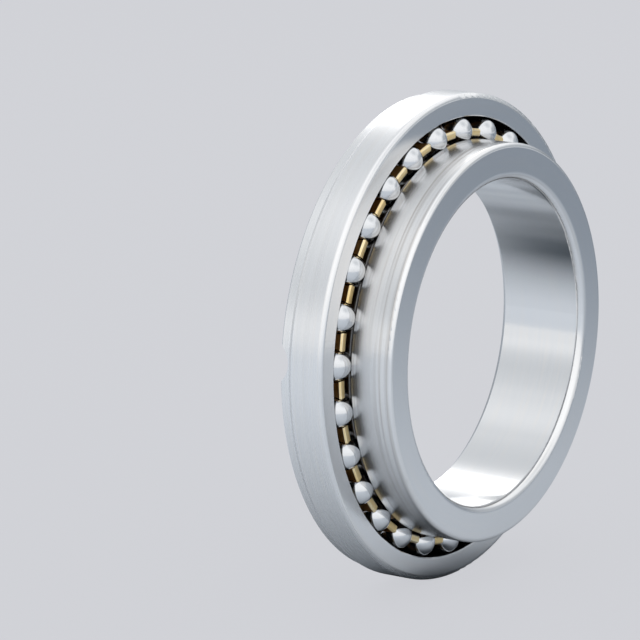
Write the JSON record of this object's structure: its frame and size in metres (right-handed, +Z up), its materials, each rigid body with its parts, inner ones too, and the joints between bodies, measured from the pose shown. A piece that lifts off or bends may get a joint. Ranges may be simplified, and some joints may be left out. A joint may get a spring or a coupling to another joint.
{
  "type": "angular contact bearing",
  "caption": "Super-precision angular contact bearing: slotted narrow outer ring, wide inner ring, brass comb cage and polished balls that roll with the ring.",
  "frame": {"origin": "on the bearing axis, at mid width of the outer ring", "axes": "+Y along the bearing axis towards the slotted mating face, so the wide shoulder of the inner ring points to -Y; +Z up, 3 degrees off the nearest oil slot"},
  "size_m": [0.15, 0.03, 0.15],
  "materials": {
    "outer_steel": "ground and satin",
    "inner_steel": "fine ground",
    "cage_brass": "fine turned and milled",
    "ball_steel": "mirror polished"
  },
  "bodies": {
    "outer": {"outer_ring": "outer_steel"},
    "inner": {"inner_ring": "inner_steel"},
    "cage": {"cage": "cage_brass"},
    "ball_01": {"ball_01": "ball_steel"},
    "ball_02": {"ball_02": "ball_steel"},
    "ball_03": {"ball_03": "ball_steel"},
    "ball_04": {"ball_04": "ball_steel"},
    "ball_05": {"ball_05": "ball_steel"},
    "ball_06": {"ball_06": "ball_steel"},
    "ball_07": {"ball_07": "ball_steel"},
    "ball_08": {"ball_08": "ball_steel"},
    "ball_09": {"ball_09": "ball_steel"},
    "ball_10": {"ball_10": "ball_steel"},
    "ball_11": {"ball_11": "ball_steel"},
    "ball_12": {"ball_12": "ball_steel"},
    "ball_13": {"ball_13": "ball_steel"},
    "ball_14": {"ball_14": "ball_steel"},
    "ball_15": {"ball_15": "ball_steel"},
    "ball_16": {"ball_16": "ball_steel"},
    "ball_17": {"ball_17": "ball_steel"},
    "ball_18": {"ball_18": "ball_steel"},
    "ball_19": {"ball_19": "ball_steel"},
    "ball_20": {"ball_20": "ball_steel"},
    "ball_21": {"ball_21": "ball_steel"},
    "ball_22": {"ball_22": "ball_steel"},
    "ball_23": {"ball_23": "ball_steel"},
    "ball_24": {"ball_24": "ball_steel"},
    "ball_25": {"ball_25": "ball_steel"},
    "ball_26": {"ball_26": "ball_steel"},
    "ball_27": {"ball_27": "ball_steel"},
    "ball_28": {"ball_28": "ball_steel"}
  },
  "joints": [
    {"name": "inner_ring_spin", "type": "hinge", "parent": "outer", "child": "inner", "pos_m": [0, 0, 0], "axis": [0, 1, 0], "continuous": true},
    {"name": "cage_spin", "type": "hinge", "parent": "outer", "child": "cage", "pos_m": [0, 0, 0], "axis": [0, 1, 0], "continuous": true},
    {"name": "roll_01", "type": "hinge", "parent": "cage", "child": "ball_01", "pos_m": [-0.06319, -0.0047, 0.00276], "axis": [0.7653, 0.6428, -0.0334], "continuous": true},
    {"name": "roll_02", "type": "hinge", "parent": "cage", "child": "ball_02", "pos_m": [-0.06099, -0.0047, 0.01675], "axis": [0.7387, 0.6428, -0.2029], "continuous": true},
    {"name": "roll_03", "type": "hinge", "parent": "cage", "child": "ball_03", "pos_m": [-0.05573, -0.0047, 0.0299], "axis": [0.675, 0.6428, -0.3622], "continuous": true},
    {"name": "roll_04", "type": "hinge", "parent": "cage", "child": "ball_04", "pos_m": [-0.04768, -0.0047, 0.04156], "axis": [0.5775, 0.6428, -0.5033], "continuous": true},
    {"name": "roll_05", "type": "hinge", "parent": "cage", "child": "ball_05", "pos_m": [-0.03724, -0.0047, 0.05112], "axis": [0.451, 0.6428, -0.6192], "continuous": true},
    {"name": "roll_06", "type": "hinge", "parent": "cage", "child": "ball_06", "pos_m": [-0.02493, -0.0047, 0.05813], "axis": [0.302, 0.6428, -0.704], "continuous": true},
    {"name": "roll_07", "type": "hinge", "parent": "cage", "child": "ball_07", "pos_m": [-0.01137, -0.0047, 0.06222], "axis": [0.1377, 0.6428, -0.7536], "continuous": true},
    {"name": "roll_08", "type": "hinge", "parent": "cage", "child": "ball_08", "pos_m": [0.00276, -0.0047, 0.06319], "axis": [-0.0334, 0.6428, -0.7653], "continuous": true},
    {"name": "roll_09", "type": "hinge", "parent": "cage", "child": "ball_09", "pos_m": [0.01675, -0.0047, 0.06099], "axis": [-0.2029, 0.6428, -0.7387], "continuous": true},
    {"name": "roll_10", "type": "hinge", "parent": "cage", "child": "ball_10", "pos_m": [0.0299, -0.0047, 0.05573], "axis": [-0.3622, 0.6428, -0.675], "continuous": true},
    {"name": "roll_11", "type": "hinge", "parent": "cage", "child": "ball_11", "pos_m": [0.04156, -0.0047, 0.04768], "axis": [-0.5033, 0.6428, -0.5775], "continuous": true},
    {"name": "roll_12", "type": "hinge", "parent": "cage", "child": "ball_12", "pos_m": [0.05112, -0.0047, 0.03724], "axis": [-0.6192, 0.6428, -0.451], "continuous": true},
    {"name": "roll_13", "type": "hinge", "parent": "cage", "child": "ball_13", "pos_m": [0.05813, -0.0047, 0.02493], "axis": [-0.704, 0.6428, -0.302], "continuous": true},
    {"name": "roll_14", "type": "hinge", "parent": "cage", "child": "ball_14", "pos_m": [0.06222, -0.0047, 0.01137], "axis": [-0.7536, 0.6428, -0.1377], "continuous": true},
    {"name": "roll_15", "type": "hinge", "parent": "cage", "child": "ball_15", "pos_m": [0.06319, -0.0047, -0.00276], "axis": [-0.7653, 0.6428, 0.0334], "continuous": true},
    {"name": "roll_16", "type": "hinge", "parent": "cage", "child": "ball_16", "pos_m": [0.06099, -0.0047, -0.01675], "axis": [-0.7387, 0.6428, 0.2029], "continuous": true},
    {"name": "roll_17", "type": "hinge", "parent": "cage", "child": "ball_17", "pos_m": [0.05573, -0.0047, -0.0299], "axis": [-0.675, 0.6428, 0.3622], "continuous": true},
    {"name": "roll_18", "type": "hinge", "parent": "cage", "child": "ball_18", "pos_m": [0.04768, -0.0047, -0.04156], "axis": [-0.5775, 0.6428, 0.5033], "continuous": true},
    {"name": "roll_19", "type": "hinge", "parent": "cage", "child": "ball_19", "pos_m": [0.03724, -0.0047, -0.05112], "axis": [-0.451, 0.6428, 0.6192], "continuous": true},
    {"name": "roll_20", "type": "hinge", "parent": "cage", "child": "ball_20", "pos_m": [0.02493, -0.0047, -0.05813], "axis": [-0.302, 0.6428, 0.704], "continuous": true},
    {"name": "roll_21", "type": "hinge", "parent": "cage", "child": "ball_21", "pos_m": [0.01137, -0.0047, -0.06222], "axis": [-0.1377, 0.6428, 0.7536], "continuous": true},
    {"name": "roll_22", "type": "hinge", "parent": "cage", "child": "ball_22", "pos_m": [-0.00276, -0.0047, -0.06319], "axis": [0.0334, 0.6428, 0.7653], "continuous": true},
    {"name": "roll_23", "type": "hinge", "parent": "cage", "child": "ball_23", "pos_m": [-0.01675, -0.0047, -0.06099], "axis": [0.2029, 0.6428, 0.7387], "continuous": true},
    {"name": "roll_24", "type": "hinge", "parent": "cage", "child": "ball_24", "pos_m": [-0.0299, -0.0047, -0.05573], "axis": [0.3622, 0.6428, 0.675], "continuous": true},
    {"name": "roll_25", "type": "hinge", "parent": "cage", "child": "ball_25", "pos_m": [-0.04156, -0.0047, -0.04768], "axis": [0.5033, 0.6428, 0.5775], "continuous": true},
    {"name": "roll_26", "type": "hinge", "parent": "cage", "child": "ball_26", "pos_m": [-0.05112, -0.0047, -0.03724], "axis": [0.6192, 0.6428, 0.451], "continuous": true},
    {"name": "roll_27", "type": "hinge", "parent": "cage", "child": "ball_27", "pos_m": [-0.05813, -0.0047, -0.02493], "axis": [0.704, 0.6428, 0.302], "continuous": true},
    {"name": "roll_28", "type": "hinge", "parent": "cage", "child": "ball_28", "pos_m": [-0.06222, -0.0047, -0.01137], "axis": [0.7536, 0.6428, 0.1377], "continuous": true}
  ],
  "couplings": [
    {"joint": "cage_spin", "follows": "inner_ring_spin", "ratio": 0.4758},
    {"joint": "roll_01", "follows": "inner_ring_spin", "ratio": -6.6249},
    {"joint": "roll_02", "follows": "inner_ring_spin", "ratio": -6.6249},
    {"joint": "roll_03", "follows": "inner_ring_spin", "ratio": -6.6249},
    {"joint": "roll_04", "follows": "inner_ring_spin", "ratio": -6.6249},
    {"joint": "roll_05", "follows": "inner_ring_spin", "ratio": -6.6249},
    {"joint": "roll_06", "follows": "inner_ring_spin", "ratio": -6.6249},
    {"joint": "roll_07", "follows": "inner_ring_spin", "ratio": -6.6249},
    {"joint": "roll_08", "follows": "inner_ring_spin", "ratio": -6.6249},
    {"joint": "roll_09", "follows": "inner_ring_spin", "ratio": -6.6249},
    {"joint": "roll_10", "follows": "inner_ring_spin", "ratio": -6.6249},
    {"joint": "roll_11", "follows": "inner_ring_spin", "ratio": -6.6249},
    {"joint": "roll_12", "follows": "inner_ring_spin", "ratio": -6.6249},
    {"joint": "roll_13", "follows": "inner_ring_spin", "ratio": -6.6249},
    {"joint": "roll_14", "follows": "inner_ring_spin", "ratio": -6.6249},
    {"joint": "roll_15", "follows": "inner_ring_spin", "ratio": -6.6249},
    {"joint": "roll_16", "follows": "inner_ring_spin", "ratio": -6.6249},
    {"joint": "roll_17", "follows": "inner_ring_spin", "ratio": -6.6249},
    {"joint": "roll_18", "follows": "inner_ring_spin", "ratio": -6.6249},
    {"joint": "roll_19", "follows": "inner_ring_spin", "ratio": -6.6249},
    {"joint": "roll_20", "follows": "inner_ring_spin", "ratio": -6.6249},
    {"joint": "roll_21", "follows": "inner_ring_spin", "ratio": -6.6249},
    {"joint": "roll_22", "follows": "inner_ring_spin", "ratio": -6.6249},
    {"joint": "roll_23", "follows": "inner_ring_spin", "ratio": -6.6249},
    {"joint": "roll_24", "follows": "inner_ring_spin", "ratio": -6.6249},
    {"joint": "roll_25", "follows": "inner_ring_spin", "ratio": -6.6249},
    {"joint": "roll_26", "follows": "inner_ring_spin", "ratio": -6.6249},
    {"joint": "roll_27", "follows": "inner_ring_spin", "ratio": -6.6249},
    {"joint": "roll_28", "follows": "inner_ring_spin", "ratio": -6.6249}
  ]
}
